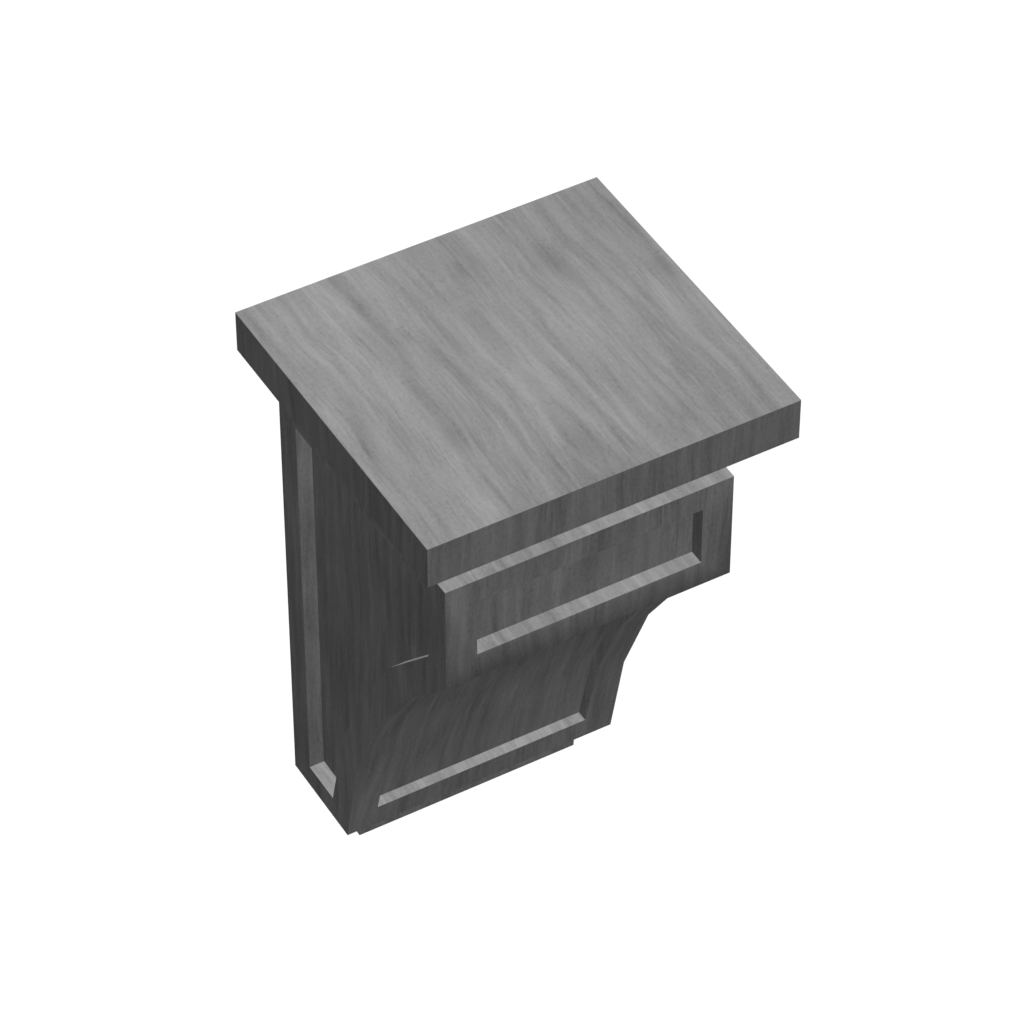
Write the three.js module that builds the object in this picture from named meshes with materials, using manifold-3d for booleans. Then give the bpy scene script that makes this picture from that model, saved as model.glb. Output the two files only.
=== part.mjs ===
// A timber corbel: a panelled bracket with a hollow front, under a wider square-edged cap board.
// Millimetres. +X is the right-hand side as the front is faced, -Y is the front, +Y is the wall, +Z is up.
// The origin is the middle of the bracket's flat back, the face that is fastened to the wall.
import * as THREE from 'three';
import { mergeVertices } from 'three/addons/utils/BufferGeometryUtils.js';
import Module from 'manifold-3d';

const wasm = await Module();
wasm.setup();

// Driving dimensions
const body = { width: 150.5, depth: 156.8, height: 255.8 }; // the panelled bracket between neck and foot
const blockHeight = 61.3; // the upright front above the hollow
const stemDepth = 54.6; // what is left of the depth at the bottom of the hollow
const hollowDepth = 20.5; // how far the hollow bows behind a straight line between its ends
const hollowCuts = 4; // the hollow, and each line that follows it, is made of this many straight cuts
const cap = { sideOverhang: 20, frontOverhang: 21, thickness: 23 };
const capSeatGap = 0.3; // between the neck's top and the cap board
const neck = { height: 31, sideInset: 13.5, frontInset: 13 };
const foot = { height: 20.1, sideInset: 13.5, frontInset: 12, frontSlant: 1.3 };
const stile = 16.2; // upright borders of every recessed panel
const rail = 13.5; // level borders of every recessed panel, but for the two at the block's lower edge
const blockEdgeRail = 14.5; // above and below the block's lower edge
const recess = { side: 8, block: 8, hollow: 6 }; // how deep each kind of panel is cut
const cutterReach = 5; // how far a cutting shape sticks out of the face that it cuts

// Heights
const bodyBottom = -body.height / 2;
const bodyTop = bodyBottom + body.height;
const blockBottom = bodyTop - blockHeight;
const neckTop = bodyTop + neck.height;

const hollow = circleOfHollow();
const hollowCorners = cutsBetween(
  new THREE.Vector2(-body.depth, blockBottom),
  new THREE.Vector2(-stemDepth, bodyBottom),
);

const wood = {
  cap: new THREE.MeshStandardMaterial({ color: 0x9a9a9a, roughness: 0.8, metalness: 0 }),
  bracket: new THREE.MeshStandardMaterial({ color: 0x8c8c8c, roughness: 0.8, metalness: 0 }),
};

// The circle that the hollow follows, seen from the side. Its centre lies in front of the corbel.
function circleOfHollow() {
  const top = new THREE.Vector2(-body.depth, blockBottom);
  const bottom = new THREE.Vector2(-stemDepth, bodyBottom);
  const line = new THREE.Vector2().subVectors(top, bottom);
  const half = line.length() / 2;
  const radius = (half * half + hollowDepth * hollowDepth) / (2 * hollowDepth);
  const forward = new THREE.Vector2(-line.y, line.x).normalize();
  const centre = new THREE.Vector2().addVectors(top, bottom).multiplyScalar(0.5);
  centre.addScaledVector(forward, radius - hollowDepth);
  return { centre, radius };
}

// The point at a given depth on a circle round the hollow's centre.
function atDepth(radius, depth) {
  const across = depth - hollow.centre.x;
  return new THREE.Vector2(depth, hollow.centre.y + Math.sqrt(radius * radius - across * across));
}

// The point at a given height on a circle round the hollow's centre.
function atHeight(radius, height) {
  const up = height - hollow.centre.y;
  return new THREE.Vector2(hollow.centre.x + Math.sqrt(radius * radius - up * up), height);
}

// The corners between straight cuts, as (depth, height) points, at equal steps round the hollow's centre.
function cutsBetween(from, to) {
  const turn = (angleOf(to) - angleOf(from)) / hollowCuts;
  return Array.from({ length: hollowCuts + 1 }, (_, corner) =>
    from.clone().rotateAround(hollow.centre, turn * corner),
  );
}

function angleOf(point) {
  return Math.atan2(point.y - hollow.centre.y, point.x - hollow.centre.x);
}

// A prism between two places across the width, with an outline of (depth, height) points.
function prismAcross(outline, from, to) {
  const shape = new THREE.Shape(outline);
  const geometry = new THREE.ExtrudeGeometry(shape, { depth: to - from, bevelEnabled: false });
  const drawnFromTheSide = new THREE.Matrix4().makeBasis(
    new THREE.Vector3(0, 1, 0),
    new THREE.Vector3(0, 0, 1),
    new THREE.Vector3(1, 0, 0),
  );
  return geometry.applyMatrix4(drawnFromTheSide).translate(from, 0, 0);
}

function box(low, high) {
  const size = new THREE.Vector3().subVectors(high, low);
  const middle = new THREE.Vector3().addVectors(low, high).multiplyScalar(0.5);
  return new THREE.BoxGeometry(size.x, size.y, size.z).translate(middle.x, middle.y, middle.z);
}

function toSolid(geometry) {
  const bare = geometry.clone();
  bare.deleteAttribute('normal');
  bare.deleteAttribute('uv');
  const merged = mergeVertices(bare);
  return new wasm.Manifold(
    new wasm.Mesh({
      numProp: 3,
      vertProperties: new Float32Array(merged.attributes.position.array),
      triVerts: new Uint32Array(merged.index.array),
    }),
  );
}

function toGeometry(solid) {
  const mesh = solid.getMesh();
  const geometry = new THREE.BufferGeometry();
  geometry.setAttribute('position', new THREE.BufferAttribute(mesh.vertProperties, 3));
  geometry.setIndex(new THREE.BufferAttribute(mesh.triVerts, 1));
  geometry.computeVertexNormals();
  return geometry;
}

// The bracket seen from the side: upright back, level top and bottom, front block and hollow.
function bracketOutline() {
  return [
    new THREE.Vector2(0, bodyBottom),
    new THREE.Vector2(0, bodyTop),
    new THREE.Vector2(-body.depth, bodyTop),
    ...hollowCorners,
  ];
}

// A side panel keeps the same border inside the bracket's back, front and hollow.
function sidePanelOutline() {
  const panelBottom = bodyBottom + rail;
  const panelTop = bodyTop - rail;
  const front = -body.depth + stile;
  const besideHollow = hollow.radius + stile;
  return [
    new THREE.Vector2(-stile, panelBottom),
    new THREE.Vector2(-stile, panelTop),
    new THREE.Vector2(front, panelTop),
    ...cutsBetween(atDepth(besideHollow, front), atHeight(besideHollow, panelBottom)),
  ];
}

function sidePanelCutters() {
  const face = body.width / 2;
  return [
    prismAcross(sidePanelOutline(), face - recess.side, face + cutterReach),
    prismAcross(sidePanelOutline(), -face - cutterReach, -face + recess.side),
  ];
}

function blockPanelCutter() {
  const side = body.width / 2 - stile;
  return box(
    new THREE.Vector3(-side, -body.depth - cutterReach, blockBottom + blockEdgeRail),
    new THREE.Vector3(side, -body.depth + recess.block, bodyTop - rail),
  );
}

// The hollow's panel has its floor at the same depth behind the hollow's circle.
// Its upper end points to the circle's centre and its lower end is level.
function hollowPanelCutter() {
  const side = body.width / 2 - stile;
  const panelBottom = bodyBottom + rail;
  const upperEnd = hollowCorners[0].clone().rotateAround(hollow.centre, -blockEdgeRail / hollow.radius);
  const outwards = new THREE.Vector2().subVectors(upperEnd, hollow.centre).normalize();
  const [floor, clear] = [recess.hollow, -cutterReach].map((behind) => {
    const start = upperEnd.clone().addScaledVector(outwards, behind);
    return cutsBetween(start, atHeight(hollow.radius + behind, panelBottom));
  });
  return prismAcross([...floor, ...clear.reverse()], -side, side);
}

function neckBlock() {
  const side = body.width / 2 - neck.sideInset;
  return box(
    new THREE.Vector3(-side, -body.depth + neck.frontInset, bodyTop - rail / 2),
    new THREE.Vector3(side, 0, neckTop),
  );
}

// The foot's front leans back a little towards the bottom.
function footBlock() {
  const side = body.width / 2 - foot.sideInset;
  const footBottom = bodyBottom - foot.height;
  const front = -stemDepth + foot.frontInset;
  const outline = [
    new THREE.Vector2(0, footBottom),
    new THREE.Vector2(0, bodyBottom + rail / 2),
    new THREE.Vector2(front, bodyBottom + rail / 2),
    new THREE.Vector2(front, bodyBottom),
    new THREE.Vector2(front + foot.frontSlant, footBottom),
  ];
  return prismAcross(outline, -side, side);
}

function bracketBody() {
  const side = body.width / 2;
  let solid = toSolid(prismAcross(bracketOutline(), -side, side));
  for (const block of [neckBlock(), footBlock()]) {
    solid = solid.add(toSolid(block));
  }
  for (const cutter of [...sidePanelCutters(), blockPanelCutter(), hollowPanelCutter()]) {
    solid = solid.subtract(toSolid(cutter));
  }
  const mesh = new THREE.Mesh(toGeometry(solid), wood.bracket);
  mesh.name = 'bracket_body';
  return mesh;
}

function capBoard() {
  const width = body.width + 2 * cap.sideOverhang;
  const depth = body.depth + cap.frontOverhang;
  const mesh = new THREE.Mesh(new THREE.BoxGeometry(width, depth, cap.thickness), wood.cap);
  mesh.name = 'cap_board';
  mesh.position.set(0, -depth / 2, neckTop + capSeatGap + cap.thickness / 2);
  return mesh;
}

const corbel = new THREE.Group();
corbel.add(bracketBody(), capBoard());

export default corbel;
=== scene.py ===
"""A grey timber corbel: a panelled bracket with a hollow front under an overhanging cap board.

Sizes are in metres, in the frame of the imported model, and those of the timber's grain are in millimetres.
+X is the right-hand side as the front is faced, -Y is the front, +Y is the wall and +Z is up. The origin is
the middle of the bracket's flat back.
"""

import logging
import math
from collections.abc import Callable, Iterable
from dataclasses import dataclass, field
from enum import Enum

import bmesh
import bpy
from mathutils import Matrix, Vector


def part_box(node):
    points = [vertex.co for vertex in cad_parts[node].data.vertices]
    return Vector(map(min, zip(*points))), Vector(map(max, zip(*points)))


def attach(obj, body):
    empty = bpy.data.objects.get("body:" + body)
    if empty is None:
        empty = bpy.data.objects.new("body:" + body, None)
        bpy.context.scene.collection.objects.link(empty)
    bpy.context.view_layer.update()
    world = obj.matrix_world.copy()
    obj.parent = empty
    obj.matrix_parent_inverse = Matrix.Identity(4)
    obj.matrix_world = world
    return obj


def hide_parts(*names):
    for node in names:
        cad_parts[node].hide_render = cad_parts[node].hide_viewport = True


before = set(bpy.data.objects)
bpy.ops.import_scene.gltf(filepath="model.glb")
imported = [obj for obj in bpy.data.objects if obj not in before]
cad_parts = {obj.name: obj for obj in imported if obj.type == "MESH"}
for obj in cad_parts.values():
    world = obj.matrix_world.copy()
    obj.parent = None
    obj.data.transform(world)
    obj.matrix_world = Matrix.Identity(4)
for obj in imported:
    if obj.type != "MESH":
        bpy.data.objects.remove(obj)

LOG = logging.getLogger("corbel")
ROOT = "root"
GRAIN_MAP = "grain"
ARRIS_MARK = "arris"
MM = 1000.0
SHARP_ANGLE = math.radians(30.0)

# Lengths that differ by less are the same but for rounding
NEAR = 1e-5

# The least that a normal has along an axis, on a face that is square to it, mostly faces it or leans to it
SQUARE_ON = 0.9
MOSTLY = 0.6
LEANING = 0.1

# Metres across the grain map: the level faces end before the first, the upright ones begin after the second
LEVEL_MAP_END = 0.2
UPRIGHT_MAP_START = 0.25

# What a noise texture gives on average
NOISE_MEAN = 0.5


class GrainWay(Enum):
    """The way that the grain runs on a face, each with its own stretch of the grain map."""

    LEVEL = "front to back"
    SIDE = "up the side"
    FRONT = "up the front"
    HOLLOW = "down the hollow"


class ShaderValue:
    """A number socket that takes part in Python arithmetic, each operation adding one Math node."""

    def __init__(self, graph: "ShaderGraph", socket: bpy.types.NodeSocket) -> None:
        """Wraps a socket.

        Args:
            graph: The graph that the socket belongs to.
            socket: The output socket that holds the number.
        """
        self.graph = graph
        self.socket = socket

    def math(self, operation: str, *operands: "ShaderValue | float") -> "ShaderValue":
        """Adds a Math node.

        Args:
            operation: The Math node's operation.
            operands: The values of its sockets, in order.

        Returns:
            The node's result.
        """
        node = self.graph.add("ShaderNodeMath", dict(enumerate(operands)), operation=operation)
        return ShaderValue(self.graph, node.outputs[0])

    def __add__(self, other: "ShaderValue | float") -> "ShaderValue":
        """Sum."""
        return self.math("ADD", self, other)

    def __sub__(self, other: "ShaderValue | float") -> "ShaderValue":
        """Difference."""
        return self.math("SUBTRACT", self, other)

    def __rsub__(self, other: float) -> "ShaderValue":
        """Difference from a number."""
        return self.math("SUBTRACT", other, self)

    def __mul__(self, other: "ShaderValue | float") -> "ShaderValue":
        """Product."""
        return self.math("MULTIPLY", self, other)

    def __truediv__(self, other: "ShaderValue | float") -> "ShaderValue":
        """Quotient."""
        return self.math("DIVIDE", self, other)

    __radd__ = __add__
    __rmul__ = __mul__

    def root(self) -> "ShaderValue":
        """Square root."""
        return self.math("SQRT", self)

    def band(self, low: float, high: float) -> "ShaderValue":
        """Ramps smoothly from 0 to 1.

        Args:
            low: The value at which the result is 0.
            high: The value at which the result is 1.

        Returns:
            The ramped value.
        """
        sockets = {"Value": self, "From Min": low, "From Max": high}
        node = self.graph.add("ShaderNodeMapRange", sockets, interpolation_type="SMOOTHSTEP")
        return ShaderValue(self.graph, node.outputs["Result"])


class ShaderGraph:
    """Builds the nodes of one material, or of the room."""

    def __init__(self, owner: bpy.types.Material | bpy.types.World) -> None:
        """Starts an empty graph.

        Args:
            owner: The material or world whose nodes are built.
        """
        owner.use_nodes = True
        self.tree = owner.node_tree
        self.tree.nodes.clear()

    def add(self, kind: str, sockets: dict | None = None, **settings: object) -> bpy.types.Node:
        """Adds a node.

        Args:
            kind: The node's type.
            sockets: Values or links of its input sockets, by name or by number.
            settings: The node's own settings, set before its sockets.

        Returns:
            The new node.
        """
        node = self.tree.nodes.new(kind)
        for name, setting in settings.items():
            setattr(node, name, setting)
        for key, value in (sockets or {}).items():
            if isinstance(value, ShaderValue):
                value = value.socket
            if isinstance(value, bpy.types.NodeSocket):
                self.tree.links.new(value, node.inputs[key])
            else:
                node.inputs[key].default_value = value
        return node

    def value(self, node: bpy.types.Node, output: str | int = 0) -> ShaderValue:
        """Wraps one of a node's outputs as a number."""
        return ShaderValue(self, node.outputs[output])


@dataclass(frozen=True)
class Figure:
    """One layer of the grain's figure: fractal noise in cells of a size in millimetres.

    The offset sets a layer apart from the others of the same board. Detail says how many finer layers the
    noise has, and rough how strong each of them is.
    """

    width: float
    length: float
    offset: float
    detail: float = 1.0
    rough: float = 0.5

    def over(
        self,
        graph: ShaderGraph,
        across: ShaderValue,
        along: ShaderValue,
        seed: ShaderValue | float,
    ) -> ShaderValue:
        """Lays the noise over a board.

        Args:
            graph: The material's graph.
            across: Millimetres across the grain.
            along: Millimetres along the grain.
            seed: What sets the board apart from others. It may drift across the board.

        Returns:
            The noise, 0 on average.
        """
        cell = {0: across / self.width, 1: along / self.length, 2: seed + self.offset}
        place = graph.add("ShaderNodeCombineXYZ", cell)
        sockets = {
            "Vector": place.outputs[0],
            "Scale": 1.0,
            "Detail": self.detail,
            "Roughness": self.rough,
        }
        noise = graph.value(graph.add("ShaderNodeTexNoise", sockets, noise_dimensions="3D"))
        return noise - NOISE_MEAN


# The bends of the growth rings
SWEEP = Figure(width=60.0, length=130.0, offset=1.0)
RIPPLE = Figure(width=14.0, length=45.0, offset=2.0, detail=2.0, rough=0.55)
SWELL = Figure(width=90.0, length=60.0, offset=11.0)

# What follows the rings
STREAKS = Figure(width=5.5, length=80.0, offset=3.0, detail=3.0, rough=0.6)
LINES = Figure(width=1.5, length=30.0, offset=4.0, detail=2.0, rough=0.6)
BLOTCHES = Figure(width=22.0, length=42.0, offset=5.0, detail=2.0, rough=0.55)
PORES = Figure(width=0.5, length=4.0, offset=7.0, detail=0.0)

# What lies over the board whatever its rings
PATCHES = Figure(width=12.0, length=35.0, offset=8.0)
STAIN = Figure(width=75.0, length=110.0, offset=10.0, detail=0.0)
MOTTLE = Figure(width=1.5, length=2.2, offset=6.0)
FIBRES = Figure(width=0.7, length=5.0, offset=9.0)


@dataclass(frozen=True)
class Fleck:
    """A dark or light patch in the grain, placed and sized in millimetres on the grain map."""

    across: float
    along: float
    width: float
    length: float
    depth: float
    core: float = 0.1

    def mask(self, graph: ShaderGraph, across: ShaderValue, along: ShaderValue) -> ShaderValue:
        """Builds the fleck's mask, full over its core and faded out at its rim.

        Args:
            graph: The material's graph.
            across: Millimetres across the grain.
            along: Millimetres along the grain.

        Returns:
            The share of light that the fleck takes away, or gives where its depth is negative.
        """
        sideways = (across - self.across) / self.width
        lengthways = (along - self.along) / self.length
        distance = (sideways * sideways + lengthways * lengthways).root()
        return (1.0 - distance.band(self.core, 1.0)) * self.depth


@dataclass(frozen=True)
class GreyTimber:
    """Grey-stained timber: soft streaks and broken lines round a heart line, blotchy stain and dark flecks.

    The heart line's place across the grain map and the map's start along the board are in millimetres.
    """

    name: str
    tone: float
    seed: float
    heart: float = -300.0
    start: float = 0.0
    flecks: tuple[Fleck, ...] = ()

    # How strongly each layer changes the board's tone
    streaks: float = 0.85
    lines: float = 0.36
    blotches: float = 0.36
    stain: float = 0.3
    mottle: float = 0.25
    fibres: float = 0.06
    pores: float = 0.1

    # How much darker and livelier the upright faces are, and how much lighter the eased edges, partly as
    # wear and partly as a painted highlight
    upright_darkening: float = 0.05
    upright_contrast: float = 0.15
    arris_wear_and_highlight: float = 0.06

    # How round the rings turn over the heart, and how far they bend, in millimetres
    crown: float = 9.0
    sweep: float = 14.0
    ripple: float = 2.4
    swell: float = 6.0

    # How fast what follows the rings changes across them, in cells a millimetre
    drift_across: float = 0.012

    # The lines everywhere, what the patches add to them, and the noise from which a patch fades in
    lines_everywhere: float = 0.3
    lines_in_patches: float = 1.4
    patch_from: float = -0.1
    patch_to: float = 0.15

    # The noise from which a pore opens
    pore_from: float = 0.13
    pore_to: float = 0.28

    # How far the flecks' sides and ends are frayed, in millimetres
    sides_by_lines: float = 8.0
    sides_by_mottle: float = 4.0
    ends_by_mottle: float = 12.0

    # The gloss, and how much the fibres and pores change it
    roughness: float = 0.62
    fibre_gloss: float = 0.2
    pore_roughness: float = 0.15
    specular: float = 0.25

    # The relief's height in millimetres, and each layer's share of it
    relief: float = 0.1
    fibre_relief: float = 0.6
    line_relief: float = 0.5
    pore_relief: float = 0.6

    def material(self) -> bpy.types.Material:
        """Builds the material.

        Returns:
            The finished material, which reads the piece's grain map in metres.
        """
        made = bpy.data.materials.new(self.name)
        graph = ShaderGraph(made)
        grain = graph.add("ShaderNodeUVMap", uv_map=GRAIN_MAP)
        parts = graph.add("ShaderNodeSeparateXYZ", {0: grain.outputs[0]})
        across = graph.value(parts, 0) * MM
        place = graph.value(parts, 1) * MM
        along = place + self.start

        rings = self.rings(graph, across, along)
        drifting = across * self.drift_across + self.seed
        streaks = STREAKS.over(graph, rings, along, drifting)
        patches = PATCHES.over(graph, across, along, self.seed).band(self.patch_from, self.patch_to)
        strength = patches * self.lines_in_patches + self.lines_everywhere
        lines = LINES.over(graph, rings, along, drifting) * strength
        blotches = BLOTCHES.over(graph, rings, along, drifting)
        stain = STAIN.over(graph, across, along, self.seed)
        mottle = MOTTLE.over(graph, across, along, self.seed)
        fibres = FIBRES.over(graph, across, along, self.seed)
        pores = PORES.over(graph, rings, along, self.seed).band(self.pore_from, self.pore_to)
        arris = graph.value(graph.add("ShaderNodeAttribute", attribute_name=ARRIS_MARK), "Fac")
        upright = across.band(LEVEL_MAP_END * MM, UPRIGHT_MAP_START * MM)

        figure = streaks * self.streaks + lines * self.lines + blotches * self.blotches + stain * self.stain
        figure = figure + mottle * self.mottle + fibres * self.fibres - pores * self.pores
        light = 1.0 + figure * (1.0 + upright * self.upright_contrast)
        # The eased edges are lifted evenly, partly as wear and partly as a painted highlight.
        light = light - upright * self.upright_darkening + arris * self.arris_wear_and_highlight
        frayed_across = across + lines * self.sides_by_lines + mottle * self.sides_by_mottle
        frayed_along = place + mottle * self.ends_by_mottle
        for fleck in self.flecks:
            light = light * (1.0 - fleck.mask(graph, frayed_across, frayed_along))
        grey = light * self.tone
        colour = graph.add("ShaderNodeCombineColor", {0: grey, 1: grey, 2: grey})
        height = fibres * self.fibre_relief + lines * self.line_relief - pores * self.pore_relief
        bump = graph.add(
            "ShaderNodeBump",
            {"Strength": 1.0, "Distance": self.relief / MM, "Height": height},
        )
        shader = graph.add(
            "ShaderNodeBsdfPrincipled",
            {
                "Base Color": colour.outputs[0],
                "Roughness": self.roughness - fibres * self.fibre_gloss + pores * self.pore_roughness,
                "Normal": bump.outputs[0],
                "Specular IOR Level": self.specular,
            },
        )
        graph.add("ShaderNodeOutputMaterial", {"Surface": shader.outputs[0]})
        return made

    def rings(self, graph: ShaderGraph, across: ShaderValue, along: ShaderValue) -> ShaderValue:
        """Counts the growth rings that a place on the board has passed.

        Args:
            graph: The material's graph.
            across: Millimetres across the grain.
            along: Millimetres along the grain.

        Returns:
            Millimetres of ring growth: straight away from the heart line, and arched where it crosses it.
        """
        sweep = SWEEP.over(graph, across, along, self.seed) * self.sweep
        ripple = RIPPLE.over(graph, across, along, self.seed) * self.ripple
        swell = SWELL.over(graph, across, along, self.seed) * self.swell
        from_heart = across - self.heart + sweep + ripple
        return (from_heart * from_heart + self.crown**2).root() + swell


BRACKET_TIMBER = GreyTimber(
    "bracket timber",
    tone=0.263,
    seed=11.0,
    # Upright faces a little darker than level ones
    upright_darkening=0.03,
    flecks=(
        Fleck(2326.0, 62.0, 9.0, 95.0, -0.22),
        Fleck(2465.0, 108.0, 16.0, 72.0, -0.18),
        Fleck(2440.0, -78.0, 24.0, 50.0, 0.1),
        Fleck(4750.0, 0.0, 16.0, 260.0, 0.1),
        Fleck(4638.0, 36.0, 11.0, 20.0, -0.12),
    ),
)
CAP_TIMBER = GreyTimber(
    "cap timber",
    tone=0.248,
    seed=79.0,
    heart=-3.0,
    start=-7142.0,
    flecks=(
        Fleck(-36.5, -52.0, 3.5, 10.0, 0.2),
        Fleck(-49.0, -121.0, 6.0, 16.0, 0.16),
        Fleck(7.5, -26.0, 3.5, 12.0, 0.14),
        Fleck(46.0, -38.0, 11.0, 20.0, 0.14),
        Fleck(58.5, -136.0, 4.0, 12.0, 0.2),
        Fleck(-1.5, -153.0, 15.0, 24.0, 0.04),
        Fleck(90.0, -69.0, 6.0, 13.0, 0.14),
        Fleck(-91.0, -70.0, 5.0, 10.0, 0.12),
        Fleck(-60.0, -35.0, 14.0, 55.0, -0.08),
        Fleck(35.0, -78.0, 12.0, 45.0, -0.04),
        Fleck(60.0, -40.0, 90.0, 130.0, 0.045),
        # Darkens the board's sides all over, a little more towards their middle and top
        Fleck(4590.0, 170.0, 300.0, 300.0, 0.08),
    ),
)


@dataclass
class TimberPiece:
    """A piece of timber that is shaped from a block and then dressed.

    The starts say where on the grain map, in metres across the grain, its sides and its front begin. The
    arris is how far the flat of an eased edge reaches from the edge.
    """

    name: str
    node: str
    finish: GreyTimber
    side_start: float
    front_start: float
    arris: float = 0.00012
    made: bpy.types.Object | None = field(init=False, default=None)

    def build(self) -> None:
        """Builds the piece's mesh."""
        raise NotImplementedError

    def grain_at(self, centre: Vector, normal: Vector) -> GrainWay:
        """Tells which way the grain runs on a face.

        Args:
            centre: The face's centre.
            normal: The face's normal.

        Returns:
            The way of the grain.
        """
        if abs(normal.x) >= MOSTLY:
            return GrainWay.SIDE
        return GrainWay.LEVEL if abs(normal.z) >= MOSTLY else GrainWay.FRONT

    def grain_place(self, way: GrainWay, point: Vector) -> tuple[float, float]:
        """Places a point on the grain map.

        Args:
            way: The way of the grain on the point's face.
            point: The point.

        Returns:
            Metres across the grain and along it.
        """
        if way is GrainWay.LEVEL:
            return point.x, point.y
        if way is GrainWay.SIDE:
            return point.y + self.side_start, point.z
        return point.x + self.front_start, point.z

    def map_grain(self) -> None:
        """Lays the grain map over the piece, in metres, one stretch for each way of the grain."""
        mesh = self.made.data
        layer = mesh.uv_layers.new(name=GRAIN_MAP)
        for face in mesh.polygons:
            way = self.grain_at(face.center, face.normal)
            for loop in face.loop_indices:
                point = mesh.vertices[mesh.loops[loop].vertex_index].co
                layer.data[loop].uv = self.grain_place(way, point)

    def dress(self) -> None:
        """Gives the piece its grain, finish, body and slot."""
        self.map_grain()
        self.made.data.materials.clear()
        self.made.data.materials.append(self.finish.material())
        # The room's light reaches into the recesses as it does the open faces.
        self.made.visible_diffuse = False
        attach(self.made, ROOT)
        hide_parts(self.node)


def near(first: float, second: float) -> bool:
    """Tells whether two lengths are the same but for rounding."""
    return abs(first - second) < NEAR


def side_place(point: Vector) -> Vector:
    """Gives a point's depth and height."""
    return Vector((point.y, point.z))


def moved_run(corners: list[Vector], distance: float) -> list[Vector]:
    """Moves every straight of a run square to itself, so that neighbours still meet at a corner.

    Args:
        corners: The run's corners, as depth and height.
        distance: How far it is moved, towards the wall where it is positive.

    Returns:
        The moved corners.
    """
    squares = []
    for start, end in zip(corners, corners[1:]):
        along = (end - start).normalized()
        squares.append(Vector((-along.y, along.x)))
    pairs = zip([squares[0], *squares], [*squares, squares[-1]])
    mitres = [(before + after) / (1 + before.dot(after)) for before, after in pairs]
    return [corner + mitre * distance for corner, mitre in zip(corners, mitres)]


def at_height(start: Vector, end: Vector, height: float) -> Vector:
    """Gives the place at a height on the line through two places."""
    return start.lerp(end, (height - start.y) / (end.y - start.y))


def make_active(piece: bpy.types.Object) -> None:
    """Selects one object alone and makes it the active one.

    Args:
        piece: The object.
    """
    bpy.ops.object.select_all(action="DESELECT")
    piece.select_set(True)
    bpy.context.view_layer.objects.active = piece


def place_applied(name: str) -> bpy.types.Object:
    """Names the primitive that was just added and moves its place into its mesh.

    Args:
        name: The object's name.

    Returns:
        The object, at the origin, unturned and unscaled.
    """
    made = bpy.context.active_object
    made.name = name
    bpy.ops.object.transform_apply(location=True, rotation=True, scale=True)
    return made


def add_block(name: str, low: Iterable[float], high: Iterable[float]) -> bpy.types.Object:
    """Adds a square block between two corners.

    Args:
        name: The object's name.
        low: Its lowest corner.
        high: Its highest corner.

    Returns:
        The block.
    """
    low, high = Vector(low), Vector(high)
    bpy.ops.object.select_all(action="DESELECT")
    bpy.ops.mesh.primitive_cube_add(size=1.0, location=(low + high) / 2, scale=high - low)
    return place_applied(name)


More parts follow.
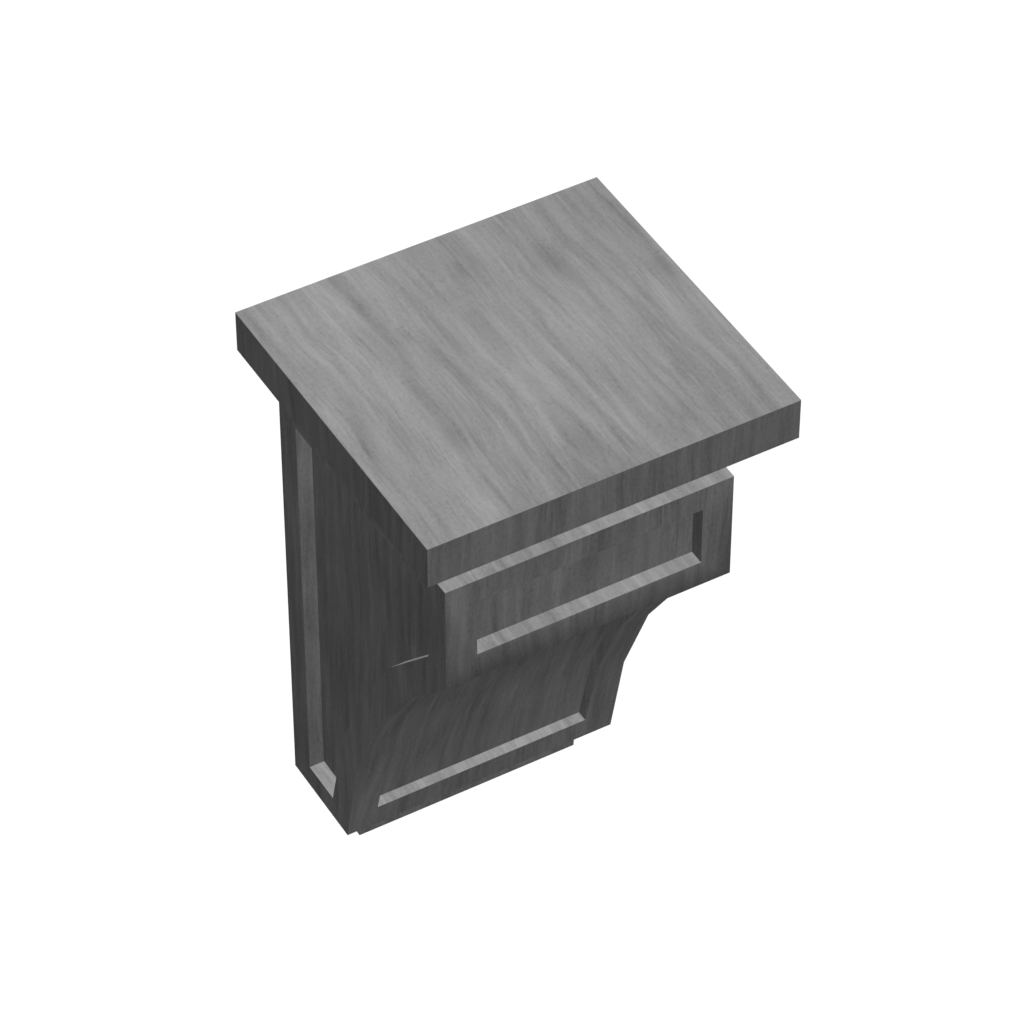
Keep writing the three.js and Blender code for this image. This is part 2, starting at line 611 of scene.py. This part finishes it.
class Bench:
    """Holds a piece in edit mode, where it is shaped by what is picked on it."""

    def __init__(self, piece: bpy.types.Object) -> None:
        """Puts a piece on the bench.

        Args:
            piece: The piece.
        """
        self.piece = piece
        make_active(piece)
        bpy.ops.object.mode_set(mode="EDIT")

    def pick_faces(self, wanted: Callable[[bmesh.types.BMFace], bool]) -> None:
        """Picks the faces that are wanted, and nothing else."""
        self.pick("FACE", lambda mesh: [face for face in mesh.faces if wanted(face)])

    def pick_edges(self, wanted: Callable[[bmesh.types.BMEdge], bool]) -> None:
        """Picks the edges that are wanted, and nothing else."""
        self.pick("EDGE", lambda mesh: [edge for edge in mesh.edges if wanted(edge)])

    def pick_points(self, wanted: Callable[[Vector], bool]) -> None:
        """Picks the points that are wanted by their place, and nothing else."""
        self.pick("VERT", lambda mesh: [vert for vert in mesh.verts if wanted(vert.co)])

    def pick(self, kind: str, find: Callable[[bmesh.types.BMesh], list]) -> None:
        """Picks parts of the mesh, and nothing else.

        Args:
            kind: The select mode that the parts belong to.
            find: Lists the parts of a mesh that are picked.
        """
        bpy.ops.mesh.select_mode(type=kind)
        bpy.ops.mesh.select_all(action="DESELECT")
        mesh = bmesh.from_edit_mesh(self.piece.data)
        for part in find(mesh):
            part.select_set(True)
        mesh.select_flush_mode()
        bmesh.update_edit_mesh(self.piece.data)

    def extrude(self, by: Iterable[float]) -> None:
        """Draws the picked faces out by a distance."""
        bpy.ops.mesh.extrude_region_move(TRANSFORM_OT_translate={"value": tuple(by)})

    def sink_panel(self, wanted: Callable[[bmesh.types.BMFace], bool], border: float, depth: float) -> None:
        """Leaves a border round some faces and sinks what is inside it, square to each face.

        Args:
            wanted: Tells whether a face belongs to the panelled side.
            border: The border's width.
            depth: How deep the panel is sunk.
        """
        self.pick_faces(wanted)
        bpy.ops.mesh.inset(thickness=border, use_even_offset=True)
        bpy.ops.mesh.extrude_region_shrink_fatten(
            TRANSFORM_OT_shrink_fatten={"value": -depth, "use_even_offset": True}
        )

    def step_out(self, level: float, border: float, height: float) -> None:
        """Draws a narrower block out of a level face, flush with the open back.

        Args:
            level: The height of the face.
            border: How far the block is set in from the face's edges.
            height: How far it is drawn, upwards where it is positive.
        """
        self.pick_faces(lambda face: face.normal.z * height > 0 and near(face.calc_center_median().z, level))
        bpy.ops.mesh.inset(thickness=border, use_even_offset=True, use_boundary=False)
        self.extrude((0.0, 0.0, height))

    def move_points(self, start: Vector, end: Vector, reach: float = math.inf) -> None:
        """Moves the points that stand at one depth and height to another.

        Args:
            start: The depth and height that they are at.
            end: The depth and height that they move to.
            reach: How far from the middle of the width they may be.
        """
        self.pick_points(lambda point: (side_place(point) - start).length < NEAR and abs(point.x) < reach)
        bpy.ops.transform.translate(value=(0.0, end.x - start.x, end.y - start.y))

    def move_run(self, starts: list[Vector], ends: list[Vector], reach: float = math.inf) -> None:
        """Moves a run of points, each from its own depth and height to another."""
        for start, end in zip(starts, ends):
            self.move_points(start, end, reach)

    def join_points(self, *places: Vector) -> None:
        """Draws an edge between two points across the face that they share."""
        self.pick_points(lambda point: any((point - place).length < NEAR for place in places))
        bpy.ops.mesh.vert_connect_path()

    def clear(self) -> None:
        """Takes the piece off the bench."""
        bpy.ops.object.mode_set(mode="OBJECT")


def is_outside_edge(edge: bmesh.types.BMEdge) -> bool:
    """Tells whether an edge sticks out and its faces meet at a real angle."""
    return len(edge.link_faces) == 2 and edge.calc_face_angle_signed(0.0) > SHARP_ANGLE


def ease_edges(
    piece: bpy.types.Object,
    width: float,
    wanted: Callable[[bmesh.types.BMEdge], bool],
) -> None:
    """Takes the sharpness off outside edges with a narrow flat, and marks the faces that it makes.

    Args:
        piece: The piece.
        width: How far the flat reaches from the old edge.
        wanted: Tells whether an outside edge is eased.
    """
    bench = Bench(piece)
    bench.pick_edges(lambda edge: is_outside_edge(edge) and wanted(edge))
    bpy.ops.mesh.bevel(offset=width, segments=1, affect="EDGES")
    bench.clear()
    mark = piece.data.attributes.new(ARRIS_MARK, "FLOAT", "FACE")
    for face in piece.data.polygons:
        mark.data[face.index].value = float(face.select)
    bpy.ops.object.shade_smooth_by_angle(angle=SHARP_ANGLE)


@dataclass
class CapBoard(TimberPiece):
    """The square-edged board on top."""

    def build(self) -> None:
        """Builds the board from its box in the frame."""
        low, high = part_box(self.node)
        self.made = add_block(self.name, low, high)
        ease_edges(self.made, self.arris, lambda edge: True)


@dataclass
class BracketBody(TimberPiece):
    """The carved bracket: front block, hollow of straight cuts, sunk panels, neck and foot."""

    carried_node: str = "cap_board"

    body_height: float = 0.2558
    block_height: float = 0.0613
    stem_depth: float = 0.0546
    hollow_depth: float = 0.0205
    hollow_cuts: int = 4
    neck_side_inset: float = 0.0135
    neck_front_inset: float = 0.013
    foot_side_inset: float = 0.0135
    foot_front_inset: float = 0.012
    foot_front_slant: float = 0.0013
    stile: float = 0.0162
    rail: float = 0.0135
    block_edge_rail: float = 0.0145
    side_recess: float = 0.008
    block_recess: float = 0.008
    hollow_recess: float = 0.006

    # How far behind the hollow's circle a face lies at least, if it belongs to a recess
    sunk_from: float = 0.0015

    # How much of its normal points to the hollow's axis at least, if a face carries the hollow's grain
    axis_facing: float = 0.98

    # How far down the shading of the block's lower edge leans
    edge_lean: float = math.radians(27.5)

    def __post_init__(self) -> None:
        """Works out the places that the steps share from the node's box."""
        self.low, self.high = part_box(self.node)
        self.face = self.high.x
        self.front = self.low.y
        self.bottom = -self.body_height / 2
        self.top = self.bottom + self.body_height
        self.block_bottom = self.top - self.block_height
        self.panel_bottom = self.bottom + self.rail
        self.panel_top = self.top - self.rail
        # The neck closes the hair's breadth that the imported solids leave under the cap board.
        self.neck_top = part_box(self.carried_node)[0].z
        self.set_out_hollow()

    def set_out_hollow(self) -> None:
        """Finds the circle that the hollow follows, seen from the side, and the corners between its cuts."""
        upper = Vector((self.front, self.block_bottom))
        lower = Vector((-self.stem_depth, self.bottom))
        line = upper - lower
        half = line.length / 2
        self.radius = (half**2 + self.hollow_depth**2) / (2 * self.hollow_depth)
        forward = Vector((-line.y, line.x)).normalized()
        self.axis = (upper + lower) / 2 + forward * (self.radius - self.hollow_depth)
        self.corners = self.cuts(self.radius, self.angle_of(upper), self.angle_of(lower))

    def angle_of(self, place: Vector) -> float:
        """Gives the angle of a depth and height about the hollow's axis."""
        spoke = place - self.axis
        return math.atan2(spoke.y, spoke.x)

    def angle_at_height(self, radius: float, height: float) -> float:
        """Gives the angle at which a circle round the hollow's axis is at a height."""
        return math.asin((height - self.axis.y) / radius)

    def cuts(self, radius: float, start: float, end: float) -> list[Vector]:
        """Sets out straight cuts at equal steps on a circle round the hollow's axis.

        Args:
            radius: The circle's radius.
            start: The angle of the upper end.
            end: The angle of the lower end.

        Returns:
            The corners between the cuts, as depth and height, from the upper end to the lower.
        """
        step = (end - start) / self.hollow_cuts
        angles = [start + step * corner for corner in range(self.hollow_cuts + 1)]
        return [self.axis + Vector((math.cos(angle), math.sin(angle))) * radius for angle in angles]

    def build(self) -> None:
        """Builds the bracket."""
        low = (-self.face, self.front, self.block_bottom)
        self.made = add_block(self.name, low, (self.face, 0.0, self.top))
        bench = Bench(self.made)
        self.cut_hollow(bench)
        self.sink_side_panels(bench)
        self.sink_block_panel(bench)
        self.sink_hollow_panel(bench)
        self.step_neck(bench)
        self.step_foot(bench)
        self.close_back(bench)
        self.split_stiles(bench)
        bench.clear()
        ease_edges(self.made, self.arris, self.is_rubbed)
        self.soften_block_edge()

    def cut_hollow(self, bench: Bench) -> None:
        """Draws the block down in one step for each of the hollow's cuts, and opens the back.

        Args:
            bench: The bench that holds the bracket.
        """
        for corner, below in zip(self.corners, self.corners[1:]):
            bench.pick_faces(lambda face: face.normal.z < -SQUARE_ON)
            bench.extrude((0.0, 0.0, below.y - corner.y))
            bench.move_points(Vector((corner.x, below.y)), below)
        bench.pick_faces(lambda face: face.normal.y > SQUARE_ON)
        bpy.ops.mesh.delete(type="FACE")

    def sink_side_panels(self, bench: Bench) -> None:
        """Sinks a panel in each side, whose front follows the hollow with cuts of its own.

        Args:
            bench: The bench that holds the bracket.
        """
        bench.sink_panel(lambda face: abs(face.normal.x) > SQUARE_ON, self.stile, self.side_recess)
        outline = [Vector((self.front, self.top)), *self.corners]
        upper, *beside_hollow, last = moved_run(outline, self.stile)
        level = self.bottom + self.stile
        beside_hollow.append(at_height(beside_hollow[-1], last, level))

        radius = self.radius + self.stile
        start = math.acos((upper.x - self.axis.x) / radius)
        end = self.angle_at_height(radius, self.panel_bottom)
        bench.move_run(beside_hollow, self.cuts(radius, start, end))
        for depth in (-self.stile, upper.x):
            bench.move_points(Vector((depth, self.top - self.stile)), Vector((depth, self.panel_top)))
        bench.move_points(Vector((-self.stile, level)), Vector((-self.stile, self.panel_bottom)))

    def sink_block_panel(self, bench: Bench) -> None:
        """Sinks the front block's panel, with its own width of border at the top and bottom.

        Args:
            bench: The bench that holds the bracket.
        """
        bench.sink_panel(
            lambda face: near(face.calc_center_median().y, self.front),
            self.stile,
            self.block_recess,
        )
        for depth in (self.front, self.front + self.block_recess):
            bench.move_points(Vector((depth, self.top - self.stile)), Vector((depth, self.panel_top)))
            start = Vector((depth, self.block_bottom + self.stile))
            bench.move_points(start, Vector((depth, self.block_bottom + self.block_edge_rail)))

    def sink_hollow_panel(self, bench: Bench) -> None:
        """Sinks the hollow's panel, whose rim and floor both follow the hollow with cuts of their own.

        Args:
            bench: The bench that holds the bracket.
        """
        bench.sink_panel(self.is_hollow_cut, self.stile, self.hollow_recess)
        upper, second, *_, third, lower = self.corners
        rim = [
            upper + (second - upper).normalized() * self.stile,
            *self.corners[1:-1],
            lower + (third - lower).normalized() * self.stile,
        ]
        start = self.angle_of(upper) - self.block_edge_rail / self.radius
        inside_stiles = self.face - self.stile + NEAR
        for depth in (0.0, self.hollow_recess):
            radius = self.radius + depth
            end = self.angle_at_height(radius, self.panel_bottom)
            bench.move_run(moved_run(rim, depth), self.cuts(radius, start, end), inside_stiles)

    def step_neck(self, bench: Bench) -> None:
        """Draws up the set-in neck that carries the cap board.

        Args:
            bench: The bench that holds the bracket.
        """
        bench.step_out(self.top, self.neck_side_inset, self.neck_top - self.top)
        for height in (self.top, self.neck_top):
            start = Vector((self.front + self.neck_side_inset, height))
            bench.move_points(start, Vector((self.front + self.neck_front_inset, height)))

    def step_foot(self, bench: Bench) -> None:
        """Draws down the set-in foot, whose front leans back a little towards the bottom.

        Args:
            bench: The bench that holds the bracket.
        """
        bench.step_out(self.bottom, self.foot_side_inset, self.low.z - self.bottom)
        for height, slant in ((self.bottom, 0.0), (self.low.z, self.foot_front_slant)):
            start = Vector((-self.stem_depth + self.foot_side_inset, height))
            bench.move_points(start, Vector((-self.stem_depth + self.foot_front_inset + slant, height)))

    def close_back(self, bench: Bench) -> None:
        """Closes the flat back with one face and turns every face outwards.

        Args:
            bench: The bench that holds the bracket.
        """
        bench.pick_edges(lambda edge: edge.is_boundary)
        bpy.ops.mesh.edge_face_add()
        bpy.ops.mesh.select_all(action="SELECT")
        bpy.ops.mesh.normals_make_consistent(inside=False)

    def split_stiles(self, bench: Bench) -> None:
        """Splits the block's two stiles, which sets how far up them the shade of the lower edge reaches.

        Args:
            bench: The bench that holds the bracket.
        """
        inner = self.face - self.stile
        lower = Vector((-inner, self.front, self.block_bottom + self.block_edge_rail))
        bench.join_points(Vector((-self.face, self.front, self.top)), lower)
        upper = Vector((inner, self.front, self.panel_top))
        bench.join_points(Vector((self.face, self.front, self.block_bottom)), upper)

    def is_hollow_cut(self, face: bmesh.types.BMFace) -> bool:
        """Tells whether a face is one of the hollow's cuts, which look forwards and downwards."""
        return face.normal.y < -LEANING and face.normal.z < -LEANING

    def on_block_edge(self, point: Vector) -> bool:
        """Tells whether a point lies on the block's lower front edge, where the hollow begins."""
        return (side_place(point) - self.corners[0]).length < self.arris

    def is_block_edge(self, edge: bmesh.types.BMEdge) -> bool:
        """Tells whether an edge is the block's lower front edge."""
        return all(self.on_block_edge(vert.co) for vert in edge.verts)

    def is_recess_wall(self, face: bmesh.types.BMFace) -> bool:
        """Tells whether a face is a wall or the floor of a sunk panel, and so lies inside the outer faces.

        Args:
            face: The face.

        Returns:
            Whether it belongs to a recess.
        """
        centre = face.calc_center_median()
        inside = abs(centre.x) < self.face - NEAR and self.front + NEAR < centre.y < -NEAR
        behind_hollow = (side_place(centre) - self.axis).length - self.radius
        return inside and self.bottom < centre.z < self.top and behind_hollow > self.sunk_from

    def is_rubbed(self, edge: bmesh.types.BMEdge) -> bool:
        """Tells whether an edge is eased: not a sunk panel's rim, the neck's top or the block's lower edge.

        Args:
            edge: An outside edge.

        Returns:
            Whether hands reach it and rub it.
        """
        covered = all(near(vert.co.z, self.neck_top) for vert in edge.verts)
        sunk = any(self.is_recess_wall(face) for face in edge.link_faces)
        return not (covered or sunk or self.is_block_edge(edge))

    def soften_block_edge(self) -> None:
        """Shades the block's lower edge over into the hollow, as a well-rubbed edge looks."""
        bench = Bench(self.made)
        bench.pick_edges(self.is_block_edge)
        bpy.ops.mesh.mark_sharp(clear=True)
        bench.clear()
        mesh = self.made.data
        leaning = Vector((0.0, -math.cos(self.edge_lean), -math.sin(self.edge_lean)))
        normals = [corner.vector.copy() for corner in mesh.corner_normals]
        for face in mesh.polygons:
            for loop in face.loop_indices:
                point = mesh.vertices[mesh.loops[loop].vertex_index].co
                if near(face.normal.x, 0.0) and self.on_block_edge(point):
                    normals[loop] = leaning
        mesh.normals_split_custom_set(normals)

    def grain_at(self, centre: Vector, normal: Vector) -> GrainWay:
        """Tells which way the grain runs on a face, down the hollow where the face belongs to it.

        Args:
            centre: The face's centre.
            normal: The face's normal.

        Returns:
            The way of the grain.
        """
        spoke = side_place(centre) - self.axis
        beside_hollow = abs(spoke.length - self.radius) < self.stile + NEAR
        below_block = centre.z < self.block_bottom + self.stile
        faces_axis = abs(spoke.normalized().dot(side_place(normal))) > self.axis_facing
        if faces_axis and beside_hollow and below_block:
            return GrainWay.HOLLOW
        return super().grain_at(centre, normal)

    def grain_place(self, way: GrainWay, point: Vector) -> tuple[float, float]:
        """Places a point on the grain map, following the hollow below the block.

        Args:
            way: The way of the grain on the point's face.
            point: The point.

        Returns:
            Metres across the grain and along it.
        """
        if way is GrainWay.HOLLOW:
            turned = self.angle_of(self.corners[0]) - self.angle_of(side_place(point))
            return point.x + self.front_start, self.block_bottom - turned * self.radius
        return super().grain_place(way, point)


def towards(azimuth: float, elevation: float) -> Vector:
    """Gives the direction from the object to a viewer or lamp.

    Args:
        azimuth: Degrees round the object; 0 is in front of it and 90 on its right-hand side.
        elevation: Degrees above the horizon.

    Returns:
        The direction, of length 1.
    """
    turn, rise = math.radians(azimuth), math.radians(elevation)
    ahead = math.cos(rise)
    return Vector((math.sin(turn) * ahead, -math.cos(turn) * ahead, math.sin(rise)))


def add_facing(name: str, data: bpy.types.Light | bpy.types.Camera, back: Vector) -> bpy.types.Object:
    """Adds a lamp or a camera to the scene, turned to face the object.

    Args:
        name: Its name.
        data: The lamp or the camera.
        back: The direction from the object to it.

    Returns:
        The lamp or camera in the scene.
    """
    made = bpy.data.objects.new(name, data)
    made.rotation_mode = "QUATERNION"
    made.rotation_quaternion = back.to_track_quat("Z", "Y")
    bpy.context.scene.collection.objects.link(made)
    return made


@dataclass(frozen=True)
class Lamp:
    """A lamp far away, whose light is even and casts no shadow."""

    name: str
    azimuth: float
    elevation: float
    strength: float
    spread: float = 16.0

    def hang(self) -> None:
        """Adds the lamp to the scene."""
        data = bpy.data.lights.new(self.name, "SUN")
        data.energy = self.strength * math.pi
        data.angle = math.radians(self.spread)
        data.use_shadow = False
        add_facing(self.name, data, towards(self.azimuth, self.elevation))


@dataclass(frozen=True)
class Studio:
    """A pale floor, even light and a camera at the photograph's angle."""

    azimuth: float = -30.0
    elevation: float = 43.878
    distance: float = 2.2343
    aim: tuple[float, float, float] = (-0.00563, -0.09556, 0.09321)
    lens: float = 170.854
    sensor: float = 36.0
    floor_height: float = -1.6
    floor_size: float = 14.0
    floor_tone: float = 0.95
    ambient: float = 0.161
    lamps: tuple[Lamp, ...] = (
        Lamp("overhead lamp", azimuth=0.0, elevation=88.0, strength=0.695),
        Lamp("front lamp", azimuth=10.0, elevation=54.0, strength=0.282),
        Lamp("rear fill", azimuth=160.0, elevation=4.0, strength=0.14),
    )

    def set_camera(self) -> None:
        """Adds the camera."""
        data = bpy.data.cameras.new("camera")
        data.lens = self.lens
        data.sensor_width = self.sensor
        back = towards(self.azimuth, self.elevation)
        camera = add_facing("camera", data, back)
        camera.location = Vector(self.aim) + back * self.distance
        bpy.context.scene.camera = camera

    def lay_floor(self) -> None:
        """Adds the floor, well below the part, which hangs on a wall."""
        bpy.ops.object.select_all(action="DESELECT")
        bpy.ops.mesh.primitive_plane_add(size=self.floor_size, location=(0.0, 0.0, self.floor_height))
        floor = place_applied("floor")
        paint = bpy.data.materials.new("pale floor")
        graph = ShaderGraph(paint)
        tone = self.floor_tone
        shader = graph.add("ShaderNodeBsdfDiffuse", {"Color": (tone, tone, tone, 1.0)})
        graph.add("ShaderNodeOutputMaterial", {"Surface": shader.outputs[0]})
        floor.data.materials.append(paint)
        # It throws no light up onto the part.
        floor.visible_diffuse = False
        floor.visible_glossy = False

    def light_room(self) -> None:
        """Adds the even light of the room, which the camera sees as white, and the lamps."""
        world = bpy.data.worlds.new("room")
        bpy.context.scene.world = world
        graph = ShaderGraph(world)
        path = graph.add("ShaderNodeLightPath")
        sockets = {"Value": path.outputs["Is Camera Ray"], "To Min": self.ambient}
        level = graph.add("ShaderNodeMapRange", sockets)
        sockets = {"Color": (1.0, 1.0, 1.0, 1.0), "Strength": level.outputs["Result"]}
        light = graph.add("ShaderNodeBackground", sockets)
        graph.add("ShaderNodeOutputWorld", {"Surface": light.outputs[0]})
        for lamp in self.lamps:
            lamp.hang()

    def build(self) -> None:
        """Sets up the whole studio."""
        bpy.context.scene.view_settings.view_transform = "Standard"
        self.set_camera()
        self.lay_floor()
        self.light_room()


def main() -> None:
    """Builds the corbel and its studio."""
    logging.basicConfig(level=logging.INFO, format="%(name)s: %(message)s")
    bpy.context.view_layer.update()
    Studio().build()
    pieces = (
        BracketBody("bracket", "bracket_body", BRACKET_TIMBER, side_start=4.757, front_start=2.397),
        CapBoard("cap", "cap_board", CAP_TIMBER, side_start=4.677, front_start=1.134),
    )
    for piece in pieces:
        piece.build()
        piece.dress()
        LOG.info("%s: %d faces", piece.name, len(piece.made.data.polygons))


if __name__ == "__main__":
    main()
